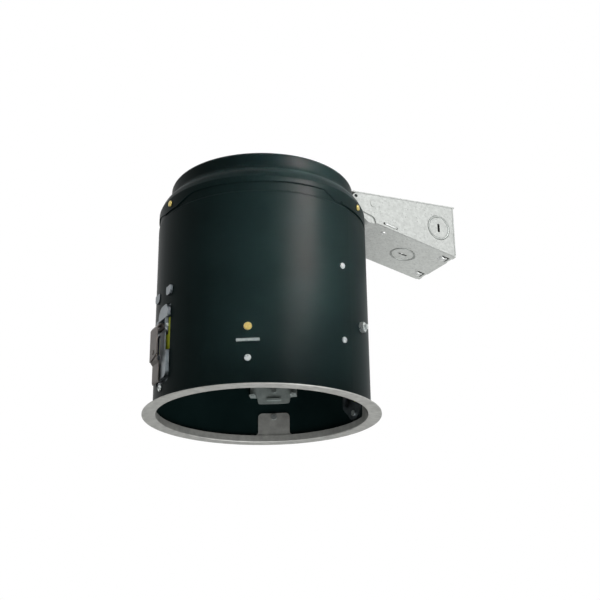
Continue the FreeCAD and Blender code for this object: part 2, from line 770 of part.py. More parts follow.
def clip_pin():
    start = hinge_span[0] - 0.6
    shaft = rod(clip_pin_radius, (pivot_x, start, pivot_z), Y, hinge_span[1] + 0.4 - start)
    return shaft.makeChamfer(0.3, [edge for edge in shaft.Edges if edge.Closed])


carrier = clip_carrier()
shield = clip_shield()
leaf = clip_leaf()
foot = clip_foot()
pin = clip_pin()
clip_rivet = rivet(shell_radius, shell_radius - carrier_inner + 0.05, steel_head_radius + 0.2, 1.0)
clip_rivet = trim(clip_rivet, rod(0.9, (shell_radius - 0.2, 0, 0), X, 3))
for name, azimuth in zip(("left", "right"), clip_azimuths):
    keep("clip_carrier_" + name, at_azimuth(carrier, azimuth))
    keep("clip_shield_" + name, at_azimuth(shield, azimuth))
    keep("clip_leaf_" + name, at_azimuth(leaf, azimuth))
    keep("clip_foot_" + name, at_azimuth(foot, azimuth))
    keep("clip_leaf_rivet_" + name, at_azimuth(leaf_rivet(), azimuth))
    keep("clip_pin_" + name, at_azimuth(pin, azimuth))
keep("clip_rivets", *[place_on_wall(clip_rivet, azimuth, clip_rivet_height) for azimuth in clip_azimuths])


# Junction box: a folded floor and a folded top, closed by two pull-off side covers
def top_height(x):
    return box_top_at_end + box_top_slope * (x - box_end)


def floor_height(x):
    sloped = box_floor_at_end + box_floor_slope * (x - box_end)
    level = box_floor_at_end + box_floor_slope * (box_crease_x - box_end)
    return sloped if x > box_crease_x else level


def box_top():
    path = [
        (box_end, floor_height(box_end - box_sheet) + box_sheet + box_fit),
        (box_end, top_height(box_end)),
        (arm_step + 5.0, top_height(arm_step + 5.0)),
        (arm_step, cap_top + box_sheet),
        (arm_tip, cap_top + box_sheet),
    ]
    outline, radii = strip_outline(path, box_sheet, 0.6)
    body = side_plate(outline, radii, -box_half_width, box_half_width)
    plan = level_plate([
        (arm_tip, -arm_half_width), (arm_step + 3.0, -arm_half_width), (arm_step + 7.0, -box_half_width),
        (box_end + 5, -box_half_width), (box_end + 5, box_half_width), (arm_step + 7.0, box_half_width),
        (arm_step + 3.0, arm_half_width), (arm_tip, arm_half_width),
    ], [6.0, 2.0, 2.0, 0.0, 0.0, 2.0, 2.0, 6.0], cap_top - 60, cap_top + 30)
    body = body.common(plan)
    lip_outline = [
        (box_end - 0.6, top_height(box_end) - box_sheet), (box_end + 1.4, top_height(box_end) - box_sheet + 0.1),
        (box_end + 1.4, top_height(box_end) + 0.08), (box_end - 0.6, top_height(box_end)),
    ]
    body = join(body, side_plate(lip_outline, [0.0] * 4, -box_half_width, box_half_width))
    for side in (-1, 1):
        inner = side * (floor_half_width - box_sheet)
        outer = side * floor_half_width
        low, high = min(inner, outer), max(inner, outer)
        flange_outline = [
            (box_end - 8.0, floor_height(box_end - 8.0) + box_sheet + 1.0),
            (box_end - 0.5, floor_height(box_end) + box_sheet + 0.6),
            (box_end - 0.5, top_height(box_end) - 0.5),
            (box_end - 8.0, top_height(box_end - 8.0) - 0.5),
        ]
        body = join(body, side_plate(flange_outline, [0.0] * 4, low, high))
    for x, y in arm_rivet_places:
        body = trim(body, rod(rivet_radius + hole_fit, (x, y, cap_top - 10), Z, 20))
    ground = rod(ground_screw_radius + hole_fit, (box_end - 6, ground_screw_y, ground_screw_z), X, 12)
    return trim(body, ground)


def knockout(thickness):
    """A part-sheared disc's groove and its pry slot, as cutters facing +Z with the face at z = 0."""
    groove = ring(knockout_radius - knockout_groove, knockout_radius, -thickness * 0.65, 1.0)
    bridge = block(-knockout_radius - 1, -knockout_radius + 2, -1.5, 1.5, -thickness, 2)
    slot = level_plate(rectangle(-knockout_slot_length / 2, knockout_slot_length / 2,
                                 -knockout_slot_width / 2, knockout_slot_width / 2),
                       [knockout_slot_width * 0.45] * 4, -thickness - 1, 1.0)
    return Part.makeCompound([groove.cut(bridge), slot])


def box_floor():
    overhang = 0.5
    path = [
        (box_root_x, top_height(box_root_x) - box_sheet - box_fit),
        (box_root_x, box_root_z),
        (box_knee_x, floor_height(box_knee_x)),
        (box_crease_x, floor_height(box_crease_x)),
        (box_end + overhang, floor_height(box_end + overhang)),
    ]
    outline, radii = strip_outline(path, box_sheet, 0.6)
    body = side_plate(outline, radii, -floor_half_width, floor_half_width)
    gusset_outline = [
        (box_knee_x - 0.4, floor_height(box_knee_x) + 0.1),
        (box_crease_x + 3.0, floor_height(box_crease_x) + 0.1),
        (box_crease_x + 3.0, box_root_z + 6.0),
        (box_root_x + 0.3, box_root_z + 6.0),
        (box_root_x + 0.3, box_root_z + 0.3),
    ]
    for side in (-1, 1):
        outer = side * floor_half_width
        inner = side * (floor_half_width - box_sheet)
        low, high = min(inner, outer), max(inner, outer)
        body = join(body, side_plate(gusset_outline, [0.0, 1.0, 3.0, 1.0, 0.0], low, high))
        tab = tab_solid(side)
        body = join(body, tab)
        across = (side * lance_y - lance_width / 2, side * lance_y + lance_width / 2)
        window = block(box_end - 9.6, box_end - 1.8, *across, floor_height(box_end) - 5, floor_height(box_crease_x))
        notch = block(box_end - 0.2, box_end + 5, *across, floor_height(box_end) - 5, floor_height(box_crease_x))
        body = trim(body, window, notch)
        root = FreeCAD.Vector(box_end - 9.8, 0, floor_height(box_end - 9.8))
        tongue_outline = [
            (root.x - 0.3, root.z + 0.15),
            (root.x + 4.6, root.z + 3.4),
            (root.x + 4.6, root.z + 4.4),
            (root.x - 0.3, root.z + 1.05),
        ]
        tongue = side_plate(tongue_outline, [0.0] * 4, side * lance_y - 0.4 * lance_width, side * lance_y + 0.4 * lance_width)
        body = join(body, tongue)
    tilt = math.degrees(math.atan(box_floor_slope))
    cutter = knockout(box_sheet)
    cutter.rotate(ORIGIN, X, 180)
    cutter.rotate(ORIGIN, Y, -tilt)
    cutter.translate(FreeCAD.Vector(floor_knockout_x, 0, floor_height(floor_knockout_x)))
    body = trim(body, *cutter.Solids)
    body = trim(body, rod(2.0, (box_crease_x + 11.6, 9.6 - box_half_width, floor_height(box_end)), Z, 30))
    return trim(body, rod(bushing_hole_radius + hole_fit, (box_root_x - 5, 0, bushing_height), X, 12))


def tab_solid(side):
    """The floor's hook tab: up beside the cover and out through its slot."""
    x0, x1 = tab_start, tab_end
    root = side_plate([
        (x0, floor_height(x0) + 0.3), (x1, floor_height(x1) + 0.3),
        (x1, floor_height(x1) + tab_high), (x0, floor_height(x0) + tab_high),
    ], [0.0] * 4, *sorted((side * (floor_half_width - box_sheet), side * floor_half_width)))
    tip = side_plate([
        (x0, floor_height(x0) + tab_low), (x1, floor_height(x1) + tab_low),
        (x1, floor_height(x1) + tab_high), (x0, floor_height(x0) + tab_high),
    ], [0.0] * 4, *sorted((side * (floor_half_width - 0.4), side * (cover_outer_y + 0.5))))
    return join(root, tip)


def side_cover():
    """The near cover, on the -Y side; the far one is its mirror image."""
    outer_x = box_end - cover_inset
    crease = floor_height(box_crease_x)
    outline = [
        (box_crease_x - 1.0, floor_height(box_crease_x) + 0.1),
        (box_crease_x + 0.4, floor_height(box_crease_x) + 0.05),
        (outer_x, floor_height(outer_x) + 0.1),
        (outer_x, top_height(outer_x) - box_sheet - cover_gap),
        (cover_start + 3.0, top_height(cover_start + 3.0) - box_sheet - cover_gap),
        (cover_start, cap_top + 2.6),
        (cover_start, cap_top - 1.2),
        (cover_start + 4.5, cap_top - 8.8),
        (box_knee_x - 3.8, crease + 7.97),
        (box_crease_x - 2.6, crease + 5.47),
    ]
    radii = [0.0, 0.0, 0.5, 1.0, 2.0, 2.0, 2.0, 2.5, 8.0, 3.5]
    body = side_plate(outline, radii, -cover_outer_y, -cover_inner_y)
    gap = 0.7
    x0, x1 = tab_start - 1.2, tab_end + 1.2
    slot = side_plate([
        (x0, floor_height(x0) + tab_low - gap * 0.5), (x1, floor_height(x1) + tab_low - gap * 0.5),
        (x1, floor_height(x1) + tab_high + gap * 0.6), (x0, floor_height(x0) + tab_high + gap * 0.6),
    ], [0.0] * 4, -cover_outer_y - 1, -cover_inner_y + 1)
    disc = knockout(box_sheet)
    disc.rotate(ORIGIN, X, 90)
    disc.rotate(ORIGIN, Y, 90)
    middle = (top_height(side_knockout_x) + floor_height(side_knockout_x)) / 2
    disc.translate(FreeCAD.Vector(side_knockout_x, -cover_outer_y, middle - side_knockout_drop))
    body = trim(body, slot, *disc.Solids)
    dimple = rod(2.7, (box_crease_x - 3.3, -cover_outer_y - 0.45, cap_top - 2.0), Y, 0.8)
    body = join(body, dimple)
    return trim(body, rod(1.5, (cover_start + 3.0, -2 * box_half_width, cap_top + 2.0), Y, 2 * box_half_width))


cover = side_cover()
keep("box_top", box_top())
keep("box_floor", box_floor())
keep("near_cover", cover)
keep("far_cover", mirrored_y(cover))


def rivet_down(x, y, seat, grip, head_radius):
    """A rivet with its head up at z = seat."""
    piece = rivet(0.0, grip, head_radius, 1.0)
    piece.rotate(ORIGIN, Y, -90)
    piece.translate(FreeCAD.Vector(x, y, seat))
    return piece


keep("arm_rivets", *[rivet_down(x, y, cap_top + box_sheet, box_sheet + cap_sheet + 0.02, steel_head_radius + 0.4)
                     for x, y in arm_rivet_places])
ground_screw = join(hexagon(6.4, -2.8, -0.02), rod(ground_screw_radius, (-0.1, 0, 0), X, 2.4))
ground_screw.translate(FreeCAD.Vector(box_end - box_sheet, ground_screw_y, ground_screw_z))
keep("ground_screw", ground_screw)


# Bushing that lines the lead hole between the cap and the junction box
def lead_bushing():
    wall_in = cap_radius - cap_sheet
    barrel = rod(bushing_hole_radius, (wall_in - 1.6, 0, bushing_height), X, box_root_x + box_sheet - wall_in + 3.2)
    flange = rod(bushing_hole_radius + 0.7, (box_root_x + box_sheet + 0.02, 0, bushing_height), X, 1.6)
    lip = rod(bushing_hole_radius + 0.7, (wall_in - 1.6, 0, bushing_height), X, 1.2)
    bore = rod(bushing_hole_radius - 0.9, (wall_in - 5, 0, bushing_height), X, 20)
    return trim(join(barrel, flange, lip), bore)


keep("lead_bushing", lead_bushing())

# Thermal protector, strapped to the floor of the box
protector_x = box_root_x + 6.4
protector_low = box_root_z + 1.6
protector_side = 4.8 - box_half_width
protector = block(protector_x, protector_x + 9.0, protector_side, protector_side + protector_width,
                  protector_low, protector_low + protector_height)
protector = protector.makeFillet(1.0, [e for e in protector.Edges if e.Length > protector_width - 0.1])
keep("thermal_protector", protector)


def protector_strap():
    low = protector_low
    path = [
        (protector_x - 4.4, low - 0.1), (protector_x - 0.9, low - 0.1), (protector_x - 0.9, low + protector_height + 1.0),
        (protector_x + 9.9, low + protector_height + 1.0), (protector_x + 9.9, low - 0.9),
    ]
    outline, radii = strip_outline(path[::-1], 0.8, 0.3)
    return side_plate(outline, radii, protector_side + 4.0, protector_side + protector_width - 4.0)


keep("protector_strap", protector_strap())


# Socket strap: riveted inside the cap, with the slot that the socket plate slides on
def socket_strap():
    path = [
        (strap_x - strap_sheet, strap_bottom),
        (strap_x - strap_sheet, cap_inner_top),
        (strap_x + strap_foot_reach, cap_inner_top),
    ]
    outline, radii = strip_outline(path[::-1], strap_sheet, 1.0)
    body = side_plate(outline, radii, -strap_half_width, strap_half_width)
    slot = radial_plate(rectangle(-slot_width / 2, slot_width / 2, slot_low, slot_high),
                        [slot_width * 0.49] * 4, strap_x - 10, strap_x + 10)
    body = trim(body, slot)
    for x, y in strap_rivet_places:
        body = trim(body, rod(rivet_radius + hole_fit, (x, y, cap_top - 10), Z, 20))
    return body


keep("socket_strap", socket_strap())
keep("strap_rivets", *[rivet_down(x, y, cap_top, cap_sheet + strap_sheet + 0.02, steel_head_radius)
                       for x, y in strap_rivet_places])


# Socket plate: an upright leg against the strap and a level plate over the lampholder
def socket_plate():
    face = strap_x + plate_fit
    half = plate_half_width
    leg = block(face, face + plate_sheet, -half, half, plate_z - plate_sheet, clamp_z + 10.0)
    disc = rod(holder_radius + 5.0, (0, 0, plate_z - plate_sheet), Z, plate_sheet)
    bridge = block(face, 0.0, -half, half, plate_z - plate_sheet, plate_z)
    body = join(leg, disc, bridge)
    body = trim(body, rod(9.0, (0, 0, plate_z - 10), Z, 20),
                rod(clamp_radius + hole_fit, (face - 5, 0, clamp_z), X, 12))
    for side in (-1, 1):
        body = trim(body, rod(holder_screw_radius + hole_fit, (0, side * holder_screw_y, plate_z - 10), Z, 20))
    return body


keep("socket_plate", socket_plate())


def clamp_bolt():
    head = rod(5.2, (strap_x - strap_sheet - plate_fit - 2.2, 0, clamp_z), X, 2.2)
    shank = rod(clamp_radius, (strap_x - strap_sheet - plate_fit - 1, 0, clamp_z), X, 16.0)
    return join(head, shank)


def wing_nut():
    seat = strap_x + plate_fit + plate_sheet + 0.1
    hub = Part.makeCone(4.6, 3.6, 5.0, FreeCAD.Vector(seat, 0, clamp_z), X)
    wing = side_plate([(seat + 1.2, clamp_z), (seat + 9.0, clamp_z + 9.5), (seat + 5.0, clamp_z + 11.5),
                       (seat + 0.6, clamp_z + 4.0)], [0.0, 2.0, 2.0, 0.5], -0.9, 0.9)
    other = wing.copy()
    other.rotate(FreeCAD.Vector(seat, 0, clamp_z), X, 180)
    return trim(join(hub, wing, other), rod(clamp_radius + pin_fit, (seat - 1, 0, clamp_z), X, 20))


keep("clamp_bolt", clamp_bolt())
keep("wing_nut", wing_nut())


# Lampholder: porcelain body, screw shell, centre contact and two fixing screws
def lampholder_body():
    bore = lamp_shell_radius + 0.3
    section = [
        (0.0, holder_top - holder_recess),
        (0.0, holder_top - 9.0),
        (8.0, holder_top - 9.0),
        (8.0, holder_top),
        (holder_radius, holder_top),
        (holder_radius, holder_top - 16.0),
        (holder_radius - 2.5, holder_top - 19.0),
        (holder_radius - 2.5, holder_mouth + 6.0),
        (holder_radius - 1.0, holder_mouth + 4.0),
        (holder_radius - 1.0, holder_mouth),
        (bore + 0.8, holder_mouth),
        (bore, holder_mouth + 1.6),
        (bore, holder_top - holder_recess),
    ]
    radii = [0.0, 0.0, 0.0, 0.0, 1.5, 1.0, 1.0, 1.0, 1.0, 1.0, 0.0, 0.0, 0.0]
    body = turned(section, radii)
    for side in (-1, 1):
        body = trim(body, rod(holder_screw_radius + hole_fit, (0, side * holder_screw_y, holder_top - 9), Z, 12))
    return body


def screw_shell():
    turns = 6
    foot_z = holder_mouth + lamp_shell_start
    outer = []
    for step in range(turns):
        z = foot_z + step * lamp_thread_pitch
        outer.append((lamp_shell_radius, z))
        outer.append((lamp_shell_radius - lamp_thread_depth, z + lamp_thread_pitch / 2))
    crown = foot_z + turns * lamp_thread_pitch
    outer.append((lamp_shell_radius, crown))
    inner = [(r - lamp_shell_sheet, z) for r, z in outer]
    seat = holder_top - holder_recess - 0.02
    corner = lamp_shell_radius - lamp_shell_corner
    outline = outer + [(corner, seat), (lamp_shell_hole_radius, seat), (lamp_shell_hole_radius, seat - lamp_shell_sheet),
                       (corner - lamp_shell_sheet, seat - lamp_shell_sheet)] + inner[::-1]
    return turned(outline, [0.0] * len(outline))


def centre_contact():
    seat = holder_top - holder_recess - 0.02
    path = [(-5.0, seat), (4.6, seat), (-3.4, seat - 4.4)]
    outline, radii = strip_outline(path[::-1], 0.4, 0.3)
    return side_plate(outline, radii, -2.6, 2.6)


keep("lampholder_body", lampholder_body())
keep("screw_shell", screw_shell())
keep("centre_contact", centre_contact())
holder_screw = pan_screw(0.0, holder_screw_grip, holder_screw_head_radius, holder_screw_head_height, holder_screw_radius)
holder_screw.rotate(ORIGIN, Y, -90)
holder_screws = []
for side in (-1, 1):
    placed = holder_screw.copy()
    placed.translate(FreeCAD.Vector(0, side * holder_screw_y, plate_z + 0.02))
    holder_screws.append(placed)
keep("holder_screws", *holder_screws)


os.makedirs("parts", exist_ok=True)
for name, shape in nodes.items():
    shape.exportStep(os.path.join("parts", name + ".step"))
    print(name, "solids", len(shape.Solids), "volume", round(shape.Volume, 1), "valid", shape.isValid())
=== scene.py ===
# %% [markdown]
# # Recessed light housing
# This lesson dresses a imported CAD model of a remodel ceiling can. The model comes in as a
# fixed frame, in metres, with its origin in the plane of the ceiling. Nothing here moves or
# reshapes it: we give every piece a finish, add the small press marks that the CAD leaves
# plain, and light it like a catalogue picture.

# %% Load the frame
import bpy
import bmesh
import math
from mathutils import Matrix, Vector


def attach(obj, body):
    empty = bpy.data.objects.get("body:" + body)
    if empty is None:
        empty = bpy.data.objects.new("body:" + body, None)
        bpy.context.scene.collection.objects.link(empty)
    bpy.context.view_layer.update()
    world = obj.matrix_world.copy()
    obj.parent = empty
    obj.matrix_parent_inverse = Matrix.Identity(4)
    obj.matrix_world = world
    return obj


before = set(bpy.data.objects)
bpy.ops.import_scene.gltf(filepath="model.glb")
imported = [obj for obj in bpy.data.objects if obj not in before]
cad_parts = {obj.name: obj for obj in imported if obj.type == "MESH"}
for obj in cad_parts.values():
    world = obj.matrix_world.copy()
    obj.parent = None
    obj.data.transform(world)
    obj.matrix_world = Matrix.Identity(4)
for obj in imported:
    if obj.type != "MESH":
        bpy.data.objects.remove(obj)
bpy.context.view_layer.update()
MM = 0.001

# %% [markdown]
# ## Colour
# Colours are written as they look on a screen, as sRGB hex values. The shader works with
# linear light, so one function turns a hex value into linear red, green and blue.

# %% Colour helper
def linear(hex_value, alpha=1.0):
    channels = []
    for start in (1, 3, 5):
        value = int(hex_value[start:start + 2], 16) / 255
        channels.append(value / 12.92 if value <= 0.04045 else ((value + 0.055) / 1.055) ** 2.4)
    return (*channels, alpha)


print("mid grey is", [round(c, 3) for c in linear("#808080")[:3]])

# %% [markdown]
# ## Building a shader
# Every finish below starts from the same three steps: a new material with its Principled
# shader, small nodes added one at a time, and constant values set on the shader's own
# sockets. One function makes the material and one adds a node with its settings and links.
# Real surfaces are never even, so two more functions let a pattern vary the gloss and raise
# a bump two hundredths of a millimetre high.

# %% Shader helpers
def new_material(name, **sockets):
    material = bpy.data.materials.new(name)
    material.use_nodes = True
    shader = material.node_tree.nodes["Principled BSDF"]
    for socket, value in sockets.items():
        shader.inputs[socket.replace("_", " ")].default_value = value
    return material, shader


def add(material, kind, settings=None, **links):
    node = material.node_tree.nodes.new(kind)
    for key, value in (settings or {}).items():
        if isinstance(key, str) and hasattr(node, key):
            setattr(node, key, value)
        else:
            node.inputs[key].default_value = value
    for key, source in links.items():
        socket = int(key[1:]) if key[1:].isdigit() else key.replace("_", " ")
        material.node_tree.links.new(source, node.inputs[socket])
    return node


def connect(material, source, target):
    material.node_tree.links.new(source, target)


def ramp(material, factor, stops):
    node = add(material, "ShaderNodeValToRGB", i0=factor)
    while len(node.color_ramp.elements) < len(stops):
        node.color_ramp.elements.new(0.5)
    for element, (place, colour) in zip(node.color_ramp.elements, stops):
        element.position = place
        element.color = colour
    return node.outputs["Color"]


def grey(value):
    return (value, value, value, 1.0)


def uneven_gloss(material, shader, factor, smooth, rough):
    gloss = add(material, "ShaderNodeMapRange", {"To Min": smooth, "To Max": rough}, i0=factor)
    connect(material, gloss.outputs[0], shader.inputs["Roughness"])


BUMP_HEIGHT = 0.02 * MM


def fine_bump(material, shader, height, strength):
    bump = add(material, "ShaderNodeBump", {"Strength": strength, "Distance": BUMP_HEIGHT}, Height=height)
    connect(material, bump.outputs[0], shader.inputs["Normal"])


print("bump height", BUMP_HEIGHT / MM, "mm")


# %% [markdown]
# ## Satin black enamel on steel
# The can and its cap are steel sheet with a thin baked enamel. It is nearly black with a
# cold green cast, and it has a soft satin gloss: a wide, weak highlight with a faint orange
# peel of about 1.5 mm. The coat is so thin and matt that its edges hardly shine, so the
# specular level is low. A little dust dulls it in broad patches.

# %% Black enamel
ORANGE_PEEL = 1.5 * MM
DUST_PATCH = 40 * MM


def black_enamel(name, roughness):
    material, shader = new_material(name, IOR=1.5, Specular_IOR_Level=0.025)
    place = add(material, "ShaderNodeTexCoord").outputs["Object"]
    dust = add(material, "ShaderNodeTexNoise", {"Scale": 1 / DUST_PATCH, "Detail": 6.0}, Vector=place)
    dusty = dust.outputs["Fac"]
    colour = ramp(material, dusty, [(0.35, linear("#0c1919")), (0.7, linear("#122020"))])
    connect(material, colour, shader.inputs["Base Color"])
    uneven_gloss(material, shader, dusty, roughness - 0.04, roughness + 0.08)
    peel = add(material, "ShaderNodeTexNoise", {"Scale": 1 / ORANGE_PEEL, "Detail": 2.0}, Vector=place)
    fine_bump(material, shader, peel.outputs["Fac"], 0.12)
    return material


enamel = black_enamel("satin_black_enamel", 0.38)
cap_enamel = black_enamel("satin_black_enamel_cap", 0.36)
print("enamel peel", ORANGE_PEEL / MM, "mm")

# %% [markdown]
# ## Zinc-coated steel
# The ring, the brackets and the junction box are steel with a zinc coat. Hot-dip zinc
# freezes in flat crystals, the spangle. This sheet was rolled again after its bath, which
# leaves crystals of only 1 to 2 mm and a pale matt skin, so it is half metal, half white
# oxide. Plated zinc has no crystals, only a fine cloudy mottle. Its colour sits in the
# reflection, and a high roughness gives the dull grey of old stock.

# %% Spangled and plated zinc
SPECK = 1.3 * MM


def spangled_zinc(name, dark, light, spangle, roughness, metallic=0.85):
    material, shader = new_material(name, Metallic=metallic, Specular_IOR_Level=0.3)
    place = add(material, "ShaderNodeTexCoord").outputs["Object"]
    warp = add(material, "ShaderNodeTexNoise", {"Scale": 1 / spangle, "Detail": 3.0}, Vector=place)
    bent = add(material, "ShaderNodeVectorMath", {"operation": "MULTIPLY_ADD"},
               i0=warp.outputs["Color"], i2=place)
    bent.inputs[1].default_value = (spangle / 2, spangle / 2, spangle / 2)
    crystal = add(material, "ShaderNodeTexVoronoi", {"Scale": 1 / spangle}, Vector=bent.outputs[0])
    split = add(material, "ShaderNodeSeparateColor", i0=crystal.outputs["Color"])
    crystal_tone = ramp(material, split.outputs[0], [(0.0, linear(dark)), (1.0, linear(light))])
    speck = add(material, "ShaderNodeTexNoise", {"Scale": 1 / SPECK, "Detail": 2.0}, Vector=place)
    clean = ramp(material, speck.outputs["Fac"], [(0.28, grey(0.45)), (0.34, grey(1.0))])
    both = add(material, "ShaderNodeMix", {"data_type": "RGBA", "blend_type": "MULTIPLY", 0: 1.0})
    connect(material, crystal_tone, both.inputs[6])
    connect(material, clean, both.inputs[7])
    connect(material, both.outputs[2], shader.inputs["Base Color"])
    uneven_gloss(material, shader, split.outputs[1], roughness - 0.07, roughness + 0.07)
    return material


def plated_zinc(name, dark, light, mottle, roughness, metallic=0.9):
    material, shader = new_material(name, Metallic=metallic)
    place = add(material, "ShaderNodeTexCoord").outputs["Object"]
    cloud = add(material, "ShaderNodeTexNoise", {"Scale": 1 / mottle, "Detail": 8.0, "Roughness": 0.65},
                Vector=place)
    cloudy = cloud.outputs["Fac"]
    colour = ramp(material, cloudy, [(0.3, linear(dark)), (0.7, linear(light))])
    connect(material, colour, shader.inputs["Base Color"])
    uneven_gloss(material, shader, cloudy, roughness - 0.08, roughness + 0.1)
    fine_bump(material, shader, cloudy, 0.1)
    return material


galvanised = spangled_zinc("galvanised_sheet", "#b9bcb9", "#c8cbc8", 1.6 * MM, 0.60, 0.25)
ring_zinc = plated_zinc("plated_zinc_ring", "#979895", "#b6b7b3", 6 * MM, 0.52, 0.65)
bracket_zinc = plated_zinc("grey_zinc_spring_steel", "#8f9997", "#adb7b4", 5 * MM, 0.42, 0.5)
carrier_zinc = plated_zinc("pressed_zinc_carrier", "#585f63", "#788085", 5 * MM, 0.30, 0.85)
bright_zinc = plated_zinc("bright_zinc_rivet", "#a4abab", "#ccd2d1", 2 * MM, 0.28, 0.75)
# Lighter, glossier zinc for the raised press marks: the lighter tone is a painted highlight on the sheet's
# own metal.
painted_highlight_zinc = plated_zinc("zinc_painted_highlight", "#cdd1cf", "#eceeec", 2 * MM, 0.35, 0.5)
# Darker zinc for the knockout rims: painted shade for the groove round each part-sheared disc.
painted_shade_zinc = plated_zinc("zinc_rim_painted_shade", "#959996", "#b1b5b2", 2 * MM, 0.38, 0.5)
print("zinc finishes", 7)

# %% [markdown]
# ## Brass, spring steel, aluminium and the small plastics
# The large rivets are brass plated, the swing-out leaves are tempered spring steel with a
# brown-grey oxide, the lamp's screw shell is drawn aluminium, and the shield behind each
# clip is a lime moulded plastic. The socket is glazed porcelain. The trim brackets' rivets
# show brass only on the heads outside the can, so their colour changes at the can's wall.

# %% Brass, spring steel and screw shell
BRASS_DARK, BRASS_LIGHT = "#a38f4c", "#d3c077"
CAN_RADIUS = 80.6 * MM
RIVET_MOTTLE = 2 * MM
brass = plated_zinc("brass_plated_rivet", BRASS_DARK, BRASS_LIGHT, RIVET_MOTTLE, 0.30, 1.0)


def brass_outside(name, can_radius):
    """Brass plate on the heads outside the can, and bright zinc on the tails inside it."""
    material, shader = new_material(name, Metallic=0.8, Roughness=0.3)
    place = add(material, "ShaderNodeTexCoord").outputs["Object"]
    flat = add(material, "ShaderNodeVectorMath", {"operation": "MULTIPLY"}, i0=place)
    flat.inputs[1].default_value = (1.0, 1.0, 0.0)
    radius = add(material, "ShaderNodeVectorMath", {"operation": "LENGTH"}, i0=flat.outputs[0])
    outside = add(material, "ShaderNodeMath", {"operation": "GREATER_THAN", 1: can_radius},
                  i0=radius.outputs["Value"])
    cloud = add(material, "ShaderNodeTexNoise", {"Scale": 1 / RIVET_MOTTLE, "Detail": 8.0}, Vector=place)
    zinc_tone = ramp(material, cloud.outputs["Fac"], [(0.3, linear("#9ba3a1")), (0.7, linear("#c3cac8"))])
    brass_tone = ramp(material, cloud.outputs["Fac"], [(0.3, linear(BRASS_DARK)), (0.7, linear(BRASS_LIGHT))])
    colour = add(material, "ShaderNodeMix", {"data_type": "RGBA"}, i0=outside.outputs[0])
    connect(material, zinc_tone, colour.inputs[6])
    connect(material, brass_tone, colour.inputs[7])
    connect(material, colour.outputs[2], shader.inputs["Base Color"])
    return material


trim_rivet_brass = brass_outside("brass_plated_head_zinc_tail", CAN_RADIUS)
contact_brass = plated_zinc("spring_brass", "#9c7f3c", "#c9a95c", 3 * MM, 0.35, 1.0)
clip_steel = plated_zinc("tempered_spring_steel", "#514d4a", "#6c6763", 4 * MM, 0.46, 0.65)
screw_shell_metal = plated_zinc("drawn_aluminium", "#c5c6c2", "#e4e5e2", 3 * MM, 0.25, 1.0)


# %% Plastics, porcelain and dyed steel
def moulded(name, dark, light, grain, roughness, ior=1.5, metallic=0.0):
    material, shader = new_material(name, IOR=ior, Metallic=metallic)
    place = add(material, "ShaderNodeTexCoord").outputs["Object"]
    cloud = add(material, "ShaderNodeTexNoise", {"Scale": 1 / grain, "Detail": 4.0}, Vector=place)
    cloudy = cloud.outputs["Fac"]
    tint = ramp(material, cloudy, [(0.35, linear(dark)), (0.7, linear(light))])
    connect(material, tint, shader.inputs["Base Color"])
    uneven_gloss(material, shader, cloudy, roughness - 0.04, roughness + 0.06)
    fine_bump(material, shader, cloudy, 0.08)
    return material


lime = moulded("lime_polypropylene", "#bcc62c", "#d6df45", 3 * MM, 0.42, 1.49)
nylon = moulded("black_nylon", "#141414", "#222222", 1 * MM, 0.5, 1.53)
phenolic = moulded("cream_phenolic", "#cfc9b2", "#ded9c5", 2 * MM, 0.35, 1.6)
porcelain = moulded("glazed_porcelain", "#e2ded2", "#efece3", 8 * MM, 0.14, 1.52)
green_steel = moulded("green_dyed_steel", "#1f6b38", "#2f8a4c", 2 * MM, 0.35, 1.5, 0.6)
print("small finishes made")

# %% [markdown]
# ## Dressing the nodes
# The CAD nodes keep their shapes and get the finishes above, by node name. Smooth shading
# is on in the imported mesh, so only the material slots change.

# %% Assign finishes
finishes = {
    "outer_shell": enamel, "top_cap": cap_enamel,
    "ceiling_ring": ring_zinc, "ring_rivets": bright_zinc, "ear_rivets": brass,
    "seam_screws": bright_zinc, "side_bolt": bright_zinc, "side_nut": bright_zinc,
    "trim_bracket_front": bracket_zinc, "trim_bracket_rear": bracket_zinc,
    "trim_rivets": trim_rivet_brass,
    "clip_rivets": bright_zinc, "box_top": galvanised, "box_floor": galvanised,
    "near_cover": galvanised, "far_cover": galvanised, "arm_rivets": bright_zinc,
    "ground_screw": green_steel, "lead_bushing": nylon, "thermal_protector": phenolic,
    "protector_strap": bracket_zinc, "socket_strap": galvanised, "strap_rivets": bright_zinc,
    "socket_plate": galvanised, "clamp_bolt": bright_zinc, "wing_nut": bright_zinc,
    "lampholder_body": porcelain, "screw_shell": screw_shell_metal,
    "centre_contact": contact_brass, "holder_screws": bright_zinc,
}
for side in ("left", "right"):
    finishes["clip_carrier_" + side] = carrier_zinc
    finishes["clip_shield_" + side] = lime
    finishes["clip_leaf_" + side] = clip_steel
    finishes["clip_foot_" + side] = clip_steel
    finishes["clip_leaf_rivet_" + side] = clip_steel
    finishes["clip_pin_" + side] = bright_zinc

for name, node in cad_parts.items():
    node.data.materials.clear()
    node.data.materials.append(finishes[name])
print("nodes dressed", len(finishes))

# %% [markdown]
# ## Small press work on the junction box
# The press leaves marks that are too small for the CAD: the burred rim of each part-sheared
# knockout disc, the bright tips of the hook tabs where they stand out of the covers' slots,
# the raised lugs of the cable clamps and one round dimple. Each is built in mesh code, a
# millimetre or so proud of its sheet. A turned profile gives the rims and the dimple, and a
# swept strip gives the lugs and tips, because both keep their edges round enough to catch
# the light. The rims get a darker zinc than the sheet, which is painted shade for the thin
# groove round each disc. The tips, lugs and dimple get a lighter zinc, which is a painted
# highlight on the sheet's own metal.


def keep_piece(name, mesh, place, material, body):
    mesh.transform(place)
    mesh.materials.append(material)
    piece = bpy.data.objects.new(name, mesh)
    bpy.context.scene.collection.objects.link(piece)
    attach(piece, body)
    return piece


